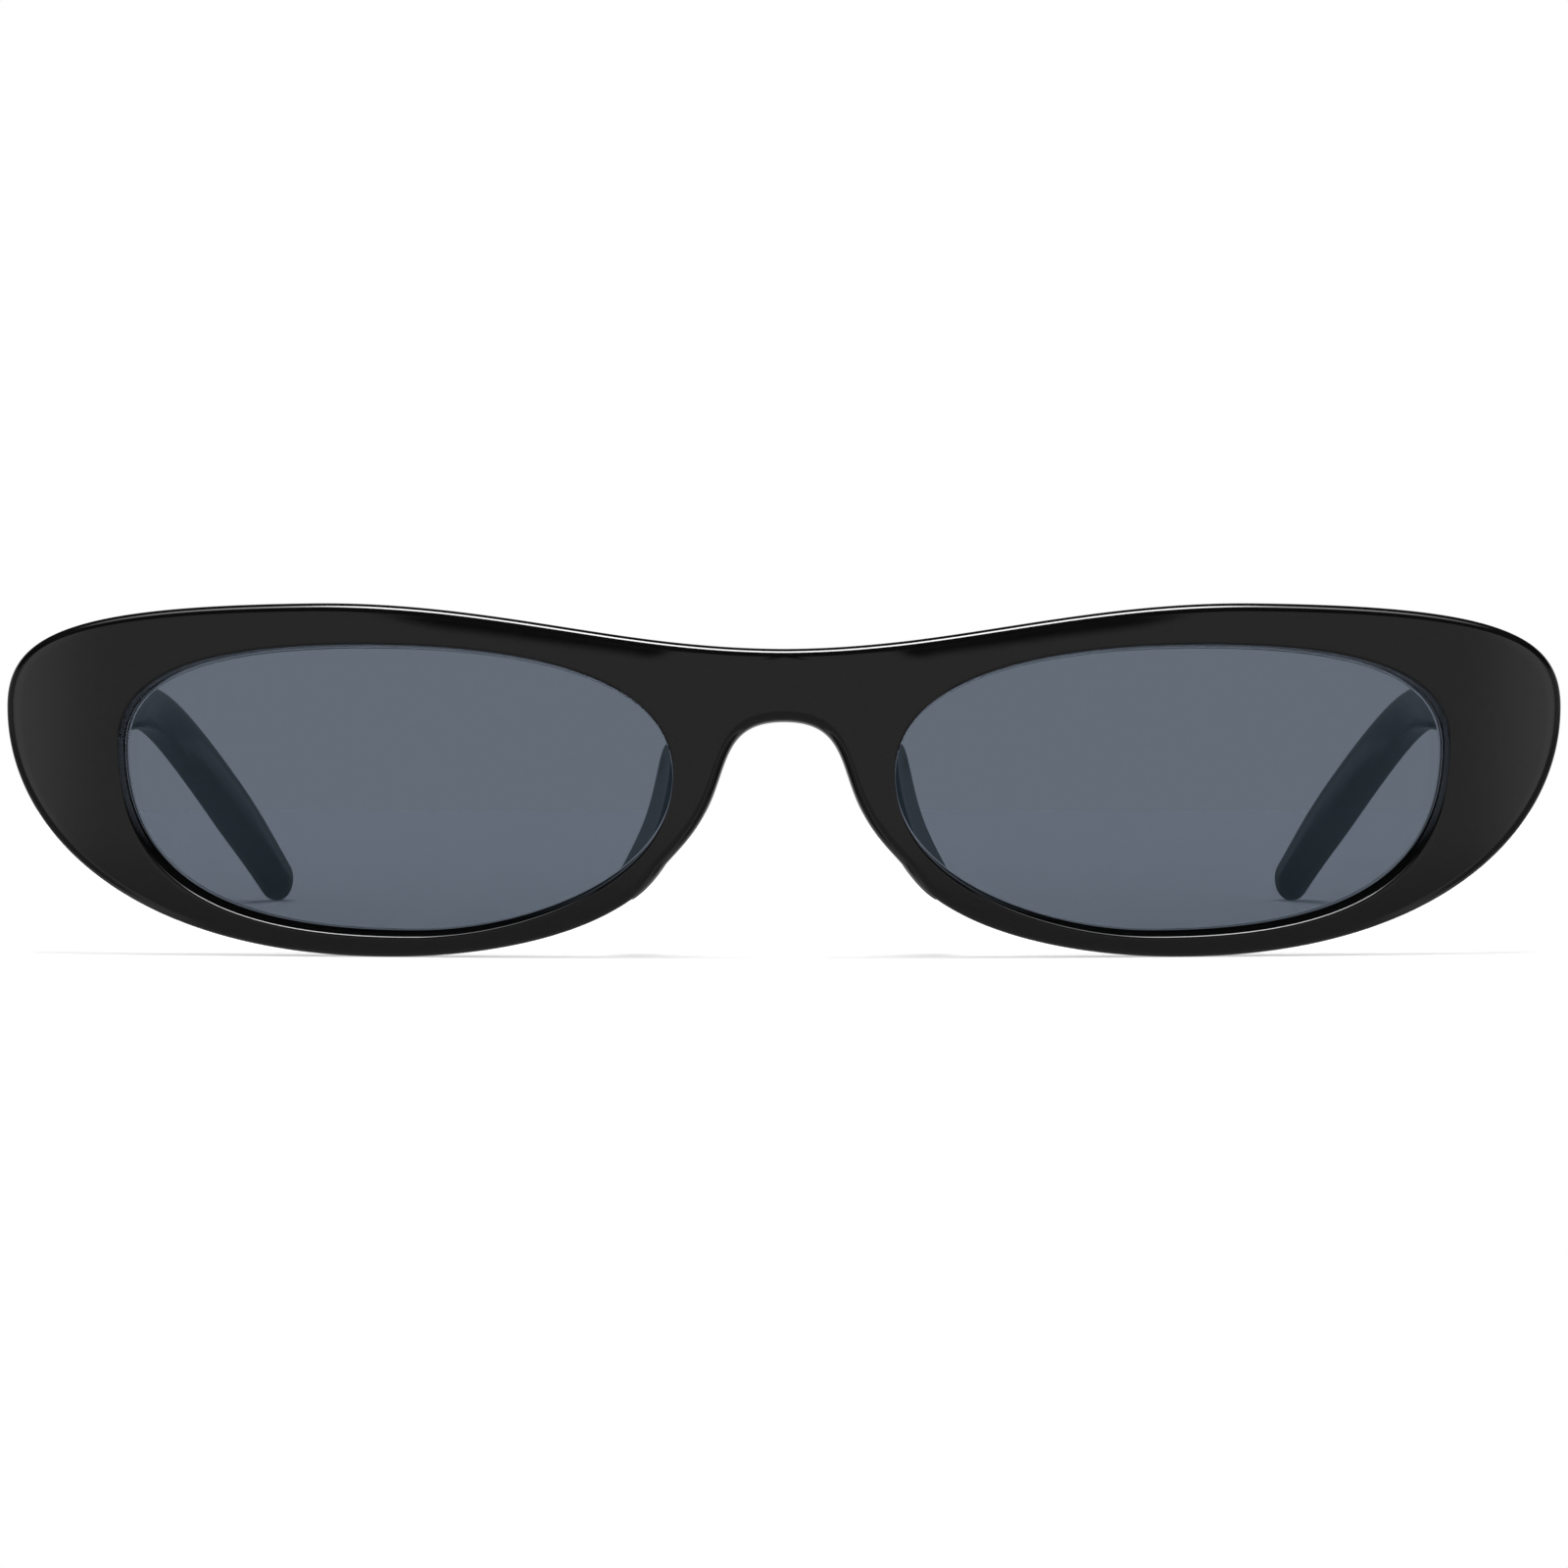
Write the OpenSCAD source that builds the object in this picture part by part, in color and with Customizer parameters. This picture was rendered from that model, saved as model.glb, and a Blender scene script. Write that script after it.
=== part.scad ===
// Narrow cat-eye sunglasses: a bowed front with two smoke lenses, bonded nose
// pads, two five-knuckle hinges and two slim temples that fold inwards.
// X runs across the face, Y runs back along the temples, Z is up. The glasses
// stand open on the lower rims and the temple tips. Left and right are the
// wearer's, so left is +X. Millimetres.

/* [Front outline] */
// Width of each lens opening
opening_w = 51.8; // [47:0.2:55]
// Height of each lens opening
opening_h = 26.6; // [22:0.2:30]
// Distance between the two lens openings
openings_gap = 20.6; // [18:0.2:24]
// Width of the end piece outside each lens opening
end_w = 10.9; // [10.6:0.1:13]
// Height of the brow above the lens opening, crest to opening
brow_h = 4; // [3:0.1:6]
// Height of the rim below the lens opening
lower_rim_h = 2.4; // [2:0.1:4]
// Width of the rim on the nose side of each opening
nasal_rim_w = 3.8; // [3:0.1:5]
// Height of the bridge at the middle
bridge_h = 6.7; // [5:0.1:9]
// Drop of the brow line from its crest to the middle of the bridge
brow_dip = 4.5; // [2:0.1:6]

/* [Front section] */
// Thickness of the front
front_t = 4.2; // [3.9:0.1:5.5]
// Radius of the ball that the front and the lenses are bowed on
bow_r = 245; // [180:5:400]
// Angle that the front leans back when the glasses stand open
lean_deg = 4; // [0:0.5:8]
// Rounding of the outer edge on the front face
edge_r = 0.9; // [0.3:0.05:1.4]
// Rounding of the outer edge on the back face
back_r = 0.7; // [0.3:0.05:1]
// Rounding of the front edge of the lens openings
opening_r = 0.3; // [0.1:0.05:0.6]
// Rounding of the back edge of the lens openings
opening_back_r = 0.75; // [0.3:0.05:0.8]
// Slope of the opening's wall in front of the lens, at its sides and top
wall_slope_deg = 1; // [0:1:12]
// Slope of the opening's wall in front of the lens, at its bottom
sill_slope_deg = 14; // [0:1:18]

/* [Lenses] */
// Depth from the front face to the lens
lens_depth = 1.9; // [1.4:0.1:2.4]
// Thickness of the lens
lens_t = 1.6; // [1.4:0.1:2]
// Depth of the lens groove in the rim
groove_d = 0.8; // [0.5:0.05:1]
// Gap between the lens and the rim all round
lens_gap = 0.1; // [0.06:0.01:0.15]

/* [Nose pads] */
// Length of a nose pad along the nasal rim
pad_l = 15; // [12:0.5:17]
// Reach of a nose pad behind the front
pad_reach = 6.2; // [4:0.1:8]
// Thickness of a nose pad at its root
pad_t = 2.4; // [2:0.1:3]
// Angle at which a nose pad spreads away from the nose
pad_splay_deg = 21; // [10:1:30]

/* [Temples] */
// Distance from the hinge pin back to the start of the ear bend
straight_l = 74; // [68:1:82]
// Distance that the ear end reaches behind the start of the bend
ear_l = 45; // [40:1:52]
// Inward run of the ear end
ear_in = 11.8; // [6:0.2:13]
// Inward turn of the temple's straight part
toe_deg = 2.2; // [0:0.2:3]
// Thickness of the temple at the hinge
temple_t = 3.6; // [3.2:0.1:4.2]
// Height of the temple at the hinge
temple_h = 7; // [6.6:0.1:8.5]
// Thickness of the temple at the ear bend
bend_t = 3.3; // [3:0.1:4]
// Height of the temple at the ear bend
bend_h = 4.4; // [3.8:0.1:6]
// Thickness of the ear end
tip_t = 3.4; // [3.2:0.1:4.5]
// Height of the ear end
tip_h = 5.2; // [4.4:0.1:7]
// Radius of the wire core in the temple
core_r = 0.6; // [0.4:0.05:0.8]

/* [Hinges] */
// Height of the hinges' middle above the lowest point of the front outline
hinge_z = 22.5; // [20:0.1:24]
// Radius of the hinge knuckles
knuckle_r = 1.3; // [1.1:0.05:1.4]
// Height of one hinge knuckle
knuckle_h = 1.3; // [1:0.05:1.35]
// Thickness of the hinge plates
leaf_t = 0.8; // [0.6:0.05:1]
// Radius of the hinge screw's shank
pin_r = 0.5; // [0.4:0.02:0.6]
// Radius of the small screws that hold the plates
screw_r = 0.45; // [0.35:0.05:0.5]
// Length of the small screws under their heads
screw_l = 2; // [1.6:0.1:2.3]

/* [Clearances] */
// Radial play of the hinge screw in the knuckles
pin_play = 0.04; // [0.02:0.01:0.08]
// Gap between neighbouring knuckles
knuckle_gap = 0.06; // [0.04:0.01:0.1]
// Gap between the knuckles and the plastic beside them
knuckle_room = 0.45; // [0.35:0.05:0.6]
// Gap between the open temple and the back of the front
butt_gap = 0.12; // [0.08:0.01:0.3]
// Gap round the plates, screws and cores that sit in the plastic
seat_gap = 0.04; // [0.02:0.01:0.08]
// Thickness of the glue between the nose pads and the front
glue_gap = 0.1; // [0.05:0.01:0.2]

/* [Hidden] */

black = [0.05, 0.05, 0.055];
smoke = [0.35, 0.38, 0.43, 0.6];
steel = [0.72, 0.73, 0.75];
$fn = 48;

// Small vector helpers
function unit(v) = v / norm(v);
function heading(a) = [cos(a), sin(a)];
function left_of(v) = [-v.y, v.x];
function mix(a, b, k) = a + (b - a) * k;
function flat_list(lists) = [for (list = lists) each list];
function ease(k) = k * k * (3 - 2 * k);

// Cubic curve between two points with a heading at each. The pulls are
// shares of the straight distance between the points.
function curve(p, a, q, b, pull) =
  let (c = norm(q - p)) [p, p + heading(a) * pull[0] * c, q - heading(b) * pull[1] * c, q];
function on_curve(q, t) =
  pow(1 - t, 3) * q[0] + 3 * pow(1 - t, 2) * t * q[1] + 3 * (1 - t) * t * t * q[2] + pow(t, 3) * q[3];
function along_curve(q, t) =
  unit(pow(1 - t, 2) * (q[1] - q[0]) + 2 * (1 - t) * t * (q[2] - q[1]) + t * t * (q[3] - q[2]));

// Lens opening: nose side, top, temple side and bottom, all as seen from the
// front. The shares place these four points along the opening's box.
nasal_x = openings_gap / 2;
temporal_x = nasal_x + opening_w;
end_x = temporal_x + end_w;
opening_low = lower_rim_h;
opening_top = lower_rim_h + opening_h;
crest_z = opening_top + brow_h;
nose_share = 0.54;
top_share = 0.58;
temple_share = 0.66;
bottom_share = 0.46;
opening_nose = [nasal_x, opening_low + nose_share * opening_h];
opening_crest = [nasal_x + top_share * opening_w, opening_top];
opening_temple = [temporal_x, opening_low + temple_share * opening_h];
opening_base = [nasal_x + bottom_share * opening_w, opening_low];
opening_curves = [
  curve(opening_nose, 90, opening_crest, 0, [0.297, 0.459]),
  curve(opening_crest, 0, opening_temple, -90, [0.561, 0.293]),
  curve(opening_temple, -90, opening_base, -180, [0.4, 0.509]),
  curve(opening_base, 180, opening_nose, 90, [0.364, 0.341])
];
opening_middle = [(nasal_x + temporal_x) / 2, opening_low + opening_h / 2];
function opening_at(v) = on_curve(opening_curves[floor(v) % 4], v - floor(v));
function opening_out(v) = left_of(along_curve(opening_curves[floor(v) % 4], v - floor(v)));

// Outer outline of one half: up the middle of the bridge, along the brow, round
// the end piece, under the lens and up beside the nose. Each stretch has its
// curve, its number of steps and the part of the opening that it faces.
crest_share = 0.647;
end_share = 0.721;
base_share = 0.5;
nose_low_slope = 124.5;
nose_high_slope = 111.2;
bridge_top = [0, crest_z - brow_dip];
bridge_low = [0, crest_z - brow_dip - bridge_h];
brow_crest = [nasal_x + crest_share * opening_w, crest_z];
end_point = [end_x, end_share * crest_z];
base_point = [nasal_x + base_share * opening_w, 0];
nose_low = [nasal_x + 1.14, 8];
nose_high = [nasal_x - nasal_rim_w + 0.13, 14.9];
outline = [
  [curve(bridge_low, 90, bridge_top, 90, [0.33, 0.33]), 4, [0.3, 0.5]],
  [curve(bridge_top, 0, brow_crest, 0, [0.346, 0.38]), 17, [0.5, 1.14]],
  [curve(brow_crest, 0, end_point, -90, [0.734, 0.233]), 14, [1.14, 1.93]],
  [curve(end_point, -90, base_point, -180, [0.279, 0.556]), 18, [1.93, 2.97]],
  [curve(base_point, 180, nose_low, nose_low_slope, [0.361, 0.271]), 11, [2.97, 3.66]],
  [curve(nose_low, nose_low_slope, nose_high, nose_high_slope, [0.183, 0.494]), 5, [3.66, 3.9]],
  [curve(nose_high, nose_high_slope, bridge_low, 180, [0.407, 0.534]), 9, [3.9, 4.3]]
];
seam_steps = outline[0][1];

// Stations round one half: outer point, outward heading, opening point and
// heading into the rim, and whether the station is inside the bridge's middle
stations = [
  for (s = [0:len(outline) - 1])
    let (part = outline[s], n = part[1])
      for (k = [0:n - 1])
        let (t = k / n, v = mix(part[2][0], part[2][1], t))
          [
            on_curve(part[0], t),
            s == 0 && k == 0 ? [0, -1] : s == 1 && k == 0 ? [0, 1] : left_of(along_curve(part[0], t)),
            opening_at(v), opening_out(v), s == 0 && k > 0
          ]
];

// A point of the outline, at a depth below the bowed front face
function bowed(p, depth) =
  let (
    share = (bow_r - depth) / bow_r,
    rise = p.y - hinge_z,
    away = sqrt(bow_r * bow_r - p.x * p.x - rise * rise)
  ) [p.x * share, bow_r - away * share, hinge_z + rise * share];

// Lens groove: a vee round the middle of the lens's edge
groove_mid = lens_depth + lens_t / 2;
groove_flat = 0.1;
groove_half = groove_d * 0.8;
wall_front = groove_mid - groove_half;
opening_round = 0.3 * opening_r;

// Section of the front at one station, from the outer front edge round the back
// to the edge of the opening
outer_points = 7;
function section(s) =
  let (
    o = s[0], no = s[1], i = s[2], ni = s[3],
    wall_slope = tan(mix(wall_slope_deg, sill_slope_deg, pow(max(0, -ni.y), 2)))
  )
    concat(
      s[4]
      ? [for (k = [0:3]) bowed(o, 0), for (k = [0:2]) bowed(o, front_t)]
      : [
        for (k = [0:3]) bowed(o - no * edge_r * (1 - sin(30 * k)), edge_r * (1 - cos(30 * k))),
        for (k = [0:2]) bowed(o - no * back_r * (1 - cos(45 * k)), front_t - back_r * (1 - sin(45 * k)))
      ],
      [
        for (k = [0:2])
          bowed(i + ni * opening_back_r * (1 - sin(45 * k)), front_t - opening_back_r * (1 - cos(45 * k))),
        bowed(i, groove_mid + groove_half),
        bowed(i + ni * groove_d, groove_mid + groove_flat),
        bowed(i + ni * groove_d, groove_mid - groove_flat),
        bowed(i, wall_front),
        bowed(i + ni * wall_slope * (wall_front - opening_r), opening_r),
        bowed(i + ni * (wall_slope * wall_front + opening_round), opening_round),
        bowed(i + ni * (wall_slope * wall_front + opening_r), 0)
      ]
    );
rings = [for (s = stations) section(s)];
ring_n = len(rings);
ring_m = len(rings[0]);
half_points = flat_list(rings);
front_points = concat(half_points, [for (p = half_points) [-p.x, p.y, p.z]]);

// Index of a point: the two halves share the points on the bridge's middle
function shared(i, j) = i <= seam_steps && j < outer_points;
function point_id(half, i, j) = (half == 1 && !shared(i, j) ? ring_n * ring_m : 0) + i * ring_m + j;
function two_faces(a, b, c, d, flip) = flip ? [[a, b, c], [a, c, d]] : [[c, b, a], [d, c, a]];

// Faces of both halves, listed from the middle of the brow on
first_ring = seam_steps + 14;
front_faces = flat_list([
  for (half = [0, 1], k = [0:ring_n - 1], j = [0:ring_m - 1])
    let (i = (k + first_ring) % ring_n, i2 = (i + 1) % ring_n, j2 = (j + 1) % ring_m)
      if (i >= seam_steps || j >= outer_points - 1)
        two_faces(
          point_id(half, i, j), point_id(half, i2, j),
          point_id(half, i2, j2), point_id(half, i, j2), half == 1
        )
]);

// The front leans back and stands on its lower rims
function leaned(p) =
  [p.x, p.y * cos(lean_deg) + p.z * sin(lean_deg), p.z * cos(lean_deg) - p.y * sin(lean_deg)];
front_low = min([for (p = half_points) leaned(p).z]);
front_near = min([for (p = half_points) leaned(p).y]);

// Hinge pin, in the front's own upright frame
pin_back = knuckle_r + knuckle_room;
temple_inset = 1.6;
pin_x = end_x - temple_inset - temple_t - pin_back;
pin_bow_r = bow_r - front_t - pin_back;
end_turn = asin(pin_x / pin_bow_r);
pin_y = bow_r - pin_bow_r * cos(end_turn);
pin_pitch = knuckle_h + knuckle_gap;
pin_half = 2 * pin_pitch + knuckle_h / 2;
pin_world = leaned([pin_x, pin_y, hinge_z]) - [0, 0, front_low];

// Temple centre line, from the hinge, straight to the bend and down to the tip
temple_side = [cos(toe_deg), sin(toe_deg), 0];
temple_run = [-sin(toe_deg), cos(toe_deg), 0];
temple_root = pin_world + temple_side * (pin_back + temple_t / 2);
bend_shift = temple_side * (temple_t - bend_t) / 2;
bend_point = temple_root + temple_run * straight_l - bend_shift;
tip_round = 5;
tip_slope = [-0.3, 0.77, -0.555];
bend_pull = 0.3;
tip_pull = 0.65;
function ear_curve(tip_z) =
  let (
    tip = [bend_point.x - ear_in, bend_point.y + ear_l, tip_z],
    c = norm(tip - bend_point)
  ) [bend_point, bend_point + temple_run * bend_pull * c, tip - unit(tip_slope) * tip_pull * c, tip];

// Temple stations: centre, heading, thickness and height
straight_steps = 10;
ear_steps = 16;
tip_steps = 6;
neck_share = 0.5;
function straight_station(k) =
  let (share = ease(min(1, k / neck_share)))
    [
      mix(temple_root, bend_point, k), temple_run,
      mix(temple_t, bend_t, k), mix(temple_h, bend_h, share)
    ];
function ear_station(q, t) =
  [on_curve(q, t), along_curve(q, t), mix(bend_t, tip_t, ease(t)), mix(bend_h, tip_h, ease(t))];
function tip_station(q, a) =
  let (end = ear_station(q, 1), k = cos(a))
    [end[0] + end[1] * tip_round / 2 * sin(a), end[1], tip_t * k, tip_h * k];
function temple_stations(tip_z) =
  let (q = ear_curve(tip_z))
    concat(
      [for (k = [0:straight_steps - 1]) straight_station(k / straight_steps)],
      [for (k = [0:ear_steps]) ear_station(q, k / ear_steps)],
      [for (k = [1:tip_steps]) tip_station(q, 86 * k / tip_steps)]
    );

// Section of a temple: a rectangle with well rounded corners
temple_sides = 16;
squareness = 0.62;
function squircle(a) =
  [sign(cos(a)) * pow(abs(cos(a)), squareness), sign(sin(a)) * pow(abs(sin(a)), squareness)];
function temple_ring(s) =
  let (side = unit(cross(s[1], [0, 0, 1])), up = cross(side, s[1]))
    [
      for (k = [0:temple_sides - 1])
        let (c = squircle(360 * (k + 0.5) / temple_sides))
          s[0] + side * c.x * s[2] / 2 + up * c.y * s[3] / 2
    ];

// The first ring lies in the mitre against the back of the front
mitre_normal = leaned([-sin(end_turn), cos(end_turn), 0]);
mitre_point = pin_world - mitre_normal * (pin_back - butt_gap);
function mitred(p, run) = p - run * ((p - mitre_point) * mitre_normal) / (run * mitre_normal);
function temple_rings(tip_z) =
  let (rings = [for (s = temple_stations(tip_z)) temple_ring(s)])
    [
      for (k = [0:len(rings) - 1])
        k == 0 ? [for (p = rings[0]) mitred(p, temple_run)] : rings[k]
    ];
tip_z = -min([for (p = flat_list(temple_rings(0))) p.z]);
temple_skin = temple_rings(tip_z);
temple_far = max([for (p = flat_list(temple_skin)) p.y]);
middle_y = (front_near + temple_far) / 2;

// Surface through a row of rings, closed at both ends
module skin(rows, flip = false) {
  n = len(rows);
  m = len(rows[0]);
  sides = [
    for (i = [0:n - 2], j = [0:m - 1])
      let (j2 = (j + 1) % m)
        each two_faces(i * m + j, (i + 1) * m + j, (i + 1) * m + j2, i * m + j2, flip)
  ];
  caps = flip
    ? [[for (j = [0:m - 1]) j], [for (j = [0:m - 1]) n * m - 1 - j]]
    : [[for (j = [0:m - 1]) m - 1 - j], [for (j = [0:m - 1]) (n - 1) * m + j]];
  polyhedron(flat_list(rows), concat(sides, caps));
}

// Places a piece of the front, or of the hinge, where it stands
module standing() {
  translate([0, -middle_y, -front_low]) rotate([-lean_deg, 0, 0]) children();
}
module on_pin() {
  standing() translate([pin_x, pin_y, hinge_z]) children();
}
module on_end_piece() {
  on_pin() rotate([0, 0, end_turn]) children();
}
module on_temple() {
  on_pin() rotate([0, 0, toe_deg]) children();
}
module behind() {
  translate([0, -middle_y, 0]) children();
}
module other_side() {
  mirror([1, 0, 0]) children();
}

// Plates of the hinge: width across, reach and height, with the screws' places
front_plate_in = 3.7;
front_plate_out = 1.5;
front_plate_h = 8.4;
front_screw_x = -2.6;
front_screw_z = 2.7;
temple_plate_start = -1;
temple_plate_end = 9;
temple_plate_h = 5;
temple_screw_y = [4.4, 7.2];
lug_half = knuckle_r * 0.7;
head_r = screw_r * 2;
head_h = 0.45;
slot_w = 0.3;
slot_d = 0.2;
screw_tip_room = 0.2;

// The pockets' cutters are a gap larger and reach out through the plastic's surface
pocket_mouth = 0.4;

module front_plate(gap = 0, mouth = 0) {
  translate([-front_plate_in - gap, -pin_back - leaf_t - gap, -front_plate_h / 2 - gap])
    cube([front_plate_in + front_plate_out + 2 * gap, leaf_t + gap + mouth, front_plate_h + 2 * gap]);
}

module temple_plate(gap = 0, mouth = 0) {
  translate([pin_back - mouth, temple_plate_start - gap, -temple_plate_h / 2 - gap])
    cube([
      leaf_t + gap + mouth,
      temple_plate_end - temple_plate_start + 2 * gap,
      temple_plate_h + 2 * gap
    ]);
}

// Knuckles at the given levels, each joined to its plate by a lug
module knuckles(levels, lug_reach, lug_turn) {
  for (level = levels)
    translate([0, 0, level * pin_pitch - knuckle_h / 2]) {
      cylinder(h = knuckle_h, r = knuckle_r);
      rotate([0, 0, lug_turn])
        translate([0, -lug_half, 0])
          cube([lug_reach, 2 * lug_half, knuckle_h]);
    }
}

module pin_bore() {
  translate([0, 0, -2 * pin_half]) cylinder(h = 4 * pin_half, r = pin_r + pin_play);
}

// Small cheese-head screw along +Y with its head at the origin
module small_screw() {
  rotate([-90, 0, 0])
    difference() {
      union() {
        cylinder(h = leaf_t + screw_l, r = screw_r);
        translate([0, 0, -head_h]) cylinder(h = head_h, r = head_r);
      }
      translate([-head_r, -slot_w / 2, -head_h - slot_d])
        cube([2 * head_r, slot_w, 2 * slot_d]);
    }
}

module screw_hole(room) {
  rotate([-90, 0, 0])
    translate([0, 0, -head_h])
      cylinder(h = head_h + leaf_t + screw_l + room, r = screw_r + seat_gap);
}

// The screws of the front plate point to the front, those of the temple plate outwards
module at_front_screws() {
  for (z = [-front_screw_z, front_screw_z])
    translate([front_screw_x, -pin_back, z]) rotate([0, 0, 180]) children();
}
module at_temple_screws() {
  for (y = temple_screw_y)
    translate([pin_back, y, 0]) rotate([0, 0, -90]) children();
}

// Front: both rims, the bridge and the end pieces in one moulding
module frame_front() {
  color(black)
    difference() {
      standing() polyhedron(front_points, front_faces);
      front_seat();
      other_side() front_seat();
    }
}

// Pocket and pilot holes behind the end piece
module front_seat() {
  on_end_piece() {
    front_plate(seat_gap, pocket_mouth);
    at_front_screws() screw_hole(screw_tip_room);
  }
}

// Lens: a shell on the front's bow with a vee edge that sits in the groove
lens_steps = 72;
lens_shares = [0.4, 0.75, 0.93];
bevel_d = groove_d - lens_gap;
function lens_ring(grow, depth, share) =
  [
    for (k = [0:lens_steps - 1])
      let (v = 4 * k / lens_steps, p = opening_at(v) + opening_out(v) * grow)
        bowed(mix(opening_middle, p, share), depth)
  ];
lens_back = lens_depth + lens_t;
lens_rings = [
  for (share = lens_shares) lens_ring(-lens_gap, lens_depth, share),
  lens_ring(-lens_gap, lens_depth, 1),
  lens_ring(-lens_gap, groove_mid - groove_half + lens_gap, 1),
  lens_ring(bevel_d, groove_mid, 1),
  lens_ring(-lens_gap, groove_mid + groove_half - lens_gap, 1),
  lens_ring(-lens_gap, lens_back, 1),
  for (share = [2, 1, 0]) lens_ring(-lens_gap, lens_back, lens_shares[share])
];

module lens_left() {
  n = len(lens_rings);
  m = lens_steps;
  front_hub = n * m;
  back_hub = front_hub + 1;
  points = concat(
    flat_list(lens_rings),
    [bowed(opening_middle, lens_depth), bowed(opening_middle, lens_back)]
  );
  faces = [
    for (i = [0:n - 2], j = [0:m - 1])
      let (j2 = (j + 1) % m)
        each two_faces(i * m + j, i * m + j2, (i + 1) * m + j2, (i + 1) * m + j, false),
    for (j = [0:m - 1]) [front_hub, j, (j + 1) % m],
    for (j = [0:m - 1]) [back_hub, (n - 1) * m + (j + 1) % m, (n - 1) * m + j]
  ];
  color(smoke) standing() polyhedron(points, faces);
}

module lens_right() {
  other_side() lens_left();
}

// Nose pad: a wing bonded behind the nasal rim that spreads as it goes back
pad_steps = 12;
pad_turn = 110;
pad_middle = [nasal_x + 0.5, 11.8];
pad_bend = 1.7;
pad_along = heading(pad_turn);
pad_across = -left_of(pad_along);
pad_tip_t = 1.5;
pad_end_share = 0.3;
function pad_ring(k) =
  let (
    u = 2 * k / pad_steps - 1,
    swell = sqrt(max(0, 1 - pow(abs(u) * 0.98, 2.6))),
    reach = pad_reach * mix(pad_end_share, 1, swell),
    root = pad_t / 2 * mix(0.45, 1, swell),
    tip = pad_tip_t / 2 * mix(0.6, 1, swell),
    base = pad_middle + pad_along * u * pad_l / 2 + pad_across * pad_bend * u * u
  )
    [
      for (q = [
          [root, 0], [mix(root, tip, 0.6), 0.5 * (reach - tip)], [tip, reach - tip],
          [tip * 0.7, reach - tip * 0.3], [0, reach], [-tip * 0.7, reach - tip * 0.3],
          [-tip, reach - tip], [-mix(root, tip, 0.6), 0.5 * (reach - tip)], [-root, 0]
        ])
        bowed(base + pad_across * (q.x + q.y * tan(pad_splay_deg)), front_t + glue_gap + q.y)
    ];

module nose_pad_left() {
  color(black) standing() skin([for (k = [0:pad_steps]) pad_ring(k)], true);
}

module nose_pad_right() {
  other_side() nose_pad_left();
}

// Hinge leaf on the front: plate in the end piece and three knuckles
module front_hinge_leaf_left() {
  color(steel)
    difference() {
      union() {
        on_end_piece() {
          front_plate();
          knuckles([-2, 0, 2], pin_back, -90);
        }
      }
      on_end_piece() {
        pin_bore();
        at_front_screws() screw_hole(0);
      }
    }
}

module front_hinge_leaf_right() {
  other_side() front_hinge_leaf_left();
}

module front_leaf_screws_left() {
  color(steel) on_end_piece() at_front_screws() small_screw();
}

module front_leaf_screws_right() {
  other_side() front_leaf_screws_left();
}

// Hinge screw: drops in from the top and ends in the lowest knuckle
pin_head_r = 1;
pin_head_h = 0.5;

module hinge_screw_left() {
  color(steel)
    on_pin()
      difference() {
        union() {
          translate([0, 0, -pin_half]) cylinder(h = 2 * pin_half + seat_gap, r = pin_r);
          translate([0, 0, pin_half + seat_gap]) cylinder(h = pin_head_h, r = pin_head_r);
        }
        translate([-pin_head_r, -slot_w / 2, pin_half + seat_gap + pin_head_h - slot_d])
          cube([2 * pin_head_r, slot_w, 2 * slot_d]);
      }
}

module hinge_screw_right() {
  other_side() hinge_screw_left();
}

// Temple: slim moulding with a pocket for the hinge leaf and a bore for the core
module temple_left() {
  color(black)
    difference() {
      behind() skin(temple_skin);
      on_temple() {
        temple_plate(seat_gap, pocket_mouth);
        at_temple_screws() screw_hole(screw_tip_room);
      }
      behind() core_tube(core_r + seat_gap, seat_gap);
    }
}

module temple_right() {
  other_side() temple_left();
}

// Wire core: runs along the temple's centre line from behind the hinge leaf
core_start = (temple_plate_end + 1.2) / straight_l;
core_end = 0.86;
core_sides = 8;
core_straight_steps = 3;
core_ear_steps = 10;
function core_ring(s, r, slip) =
  let (side = unit(cross(s[1], [0, 0, 1])), up = cross(side, s[1]), centre = s[0] + s[1] * slip)
    [
      for (k = [0:core_sides - 1])
        centre + side * r * cos(360 * k / core_sides) + up * r * sin(360 * k / core_sides)
    ];

module core_tube(r, slip) {
  q = ear_curve(tip_z);
  rows = [
    for (k = [0:core_straight_steps - 1])
      core_ring(straight_station(mix(core_start, 1, k / core_straight_steps)), r, k == 0 ? -slip : 0),
    for (k = [0:core_ear_steps])
      core_ring(ear_station(q, core_end * k / core_ear_steps), r, k == core_ear_steps ? slip : 0)
  ];
  skin(rows);
}

module temple_core_left() {
  color(steel) behind() core_tube(core_r, 0);
}

module temple_core_right() {
  other_side() temple_core_left();
}

// Hinge leaf in the temple: plate in the inner face and two knuckles
module temple_hinge_leaf_left() {
  color(steel)
    difference() {
      union() {
        on_temple() {
          temple_plate();
          knuckles([-1, 1], pin_back + leaf_t / 2, 0);
        }
      }
      on_temple() {
        pin_bore();
        at_temple_screws() screw_hole(0);
      }
    }
}

module temple_hinge_leaf_right() {
  other_side() temple_hinge_leaf_left();
}

module temple_leaf_screws_left() {
  color(steel) on_temple() at_temple_screws() small_screw();
}

module temple_leaf_screws_right() {
  other_side() temple_leaf_screws_left();
}

frame_front();
lens_left();
lens_right();
nose_pad_left();
nose_pad_right();
front_hinge_leaf_left();
front_hinge_leaf_right();
front_leaf_screws_left();
front_leaf_screws_right();
hinge_screw_left();
hinge_screw_right();
temple_left();
temple_right();
temple_core_left();
temple_core_right();
temple_hinge_leaf_left();
temple_hinge_leaf_right();
temple_leaf_screws_left();
temple_leaf_screws_right();
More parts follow.
